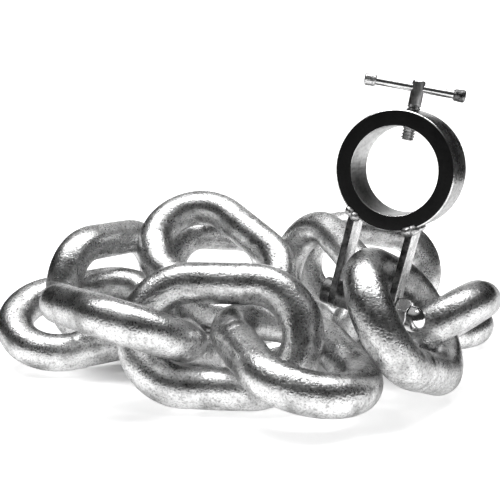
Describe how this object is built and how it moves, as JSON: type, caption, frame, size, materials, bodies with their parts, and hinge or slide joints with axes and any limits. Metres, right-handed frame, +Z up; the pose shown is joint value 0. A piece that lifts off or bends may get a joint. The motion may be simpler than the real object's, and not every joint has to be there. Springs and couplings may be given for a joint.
{
  "type": "chain heap with bar collar",
  "caption": "Heap of heavy welded steel chain whose end link is bolted to a ring collar with a T-handled clamp screw.",
  "frame": {"origin": "on the floor under the middle of the heap", "axes": "+Z up, -Y towards the front of the heap, +X to its right as seen from the front"},
  "size_m": [0.3579, 0.3217, 0.1943],
  "materials": {
    "zinc_steel": "zinc-plated, grainy and bright, with darker mottled bands",
    "ring_steel": "polished plate on rim and bore, black enamel on the front face",
    "lug_steel": "plated flat bar with rough cut edges and weld beads",
    "bolt_steel": "blackened",
    "nut_steel": "polished",
    "screw_steel": "bright plated",
    "bar_steel": "bright plated rod",
    "knob_steel": "turned, plated, dull ends"
  },
  "bodies": {
    "heap": {"cap_nut": "nut_steel", "collar_ring": "ring_steel", "cross_bolt": "bolt_steel", "link_back_arch": "zinc_steel", "link_back_left": "zinc_steel", "link_back_slope": "zinc_steel", "link_collar": "zinc_steel", "link_far_left": "zinc_steel", "link_front_left": "zinc_steel", "link_front_middle": "zinc_steel", "link_front_right": "zinc_steel", "link_inner": "zinc_steel", "link_left_arch": "zinc_steel", "link_right": "zinc_steel", "link_right_floor": "zinc_steel", "link_top": "zinc_steel", "lug_left": "lug_steel", "lug_right": "lug_steel"},
    "clamp_screw": {"clamp_screw": "screw_steel"},
    "tommy_bar": {"tommy_bar": "bar_steel", "knob_left": "knob_steel", "knob_right": "knob_steel"}
  },
  "joints": [
    {"name": "screw_turn", "type": "hinge", "parent": "heap", "child": "clamp_screw", "pos_m": [0.08924, -0.09709, 0.18976], "axis": [0.1729, -0.0806, 0.9816], "continuous": true},
    {"name": "bar_slide", "type": "slide", "parent": "clamp_screw", "child": "tommy_bar", "axis": [0.9767, -0.1145, -0.1815], "range_m": [-0.0159, 0.0195]}
  ]
}
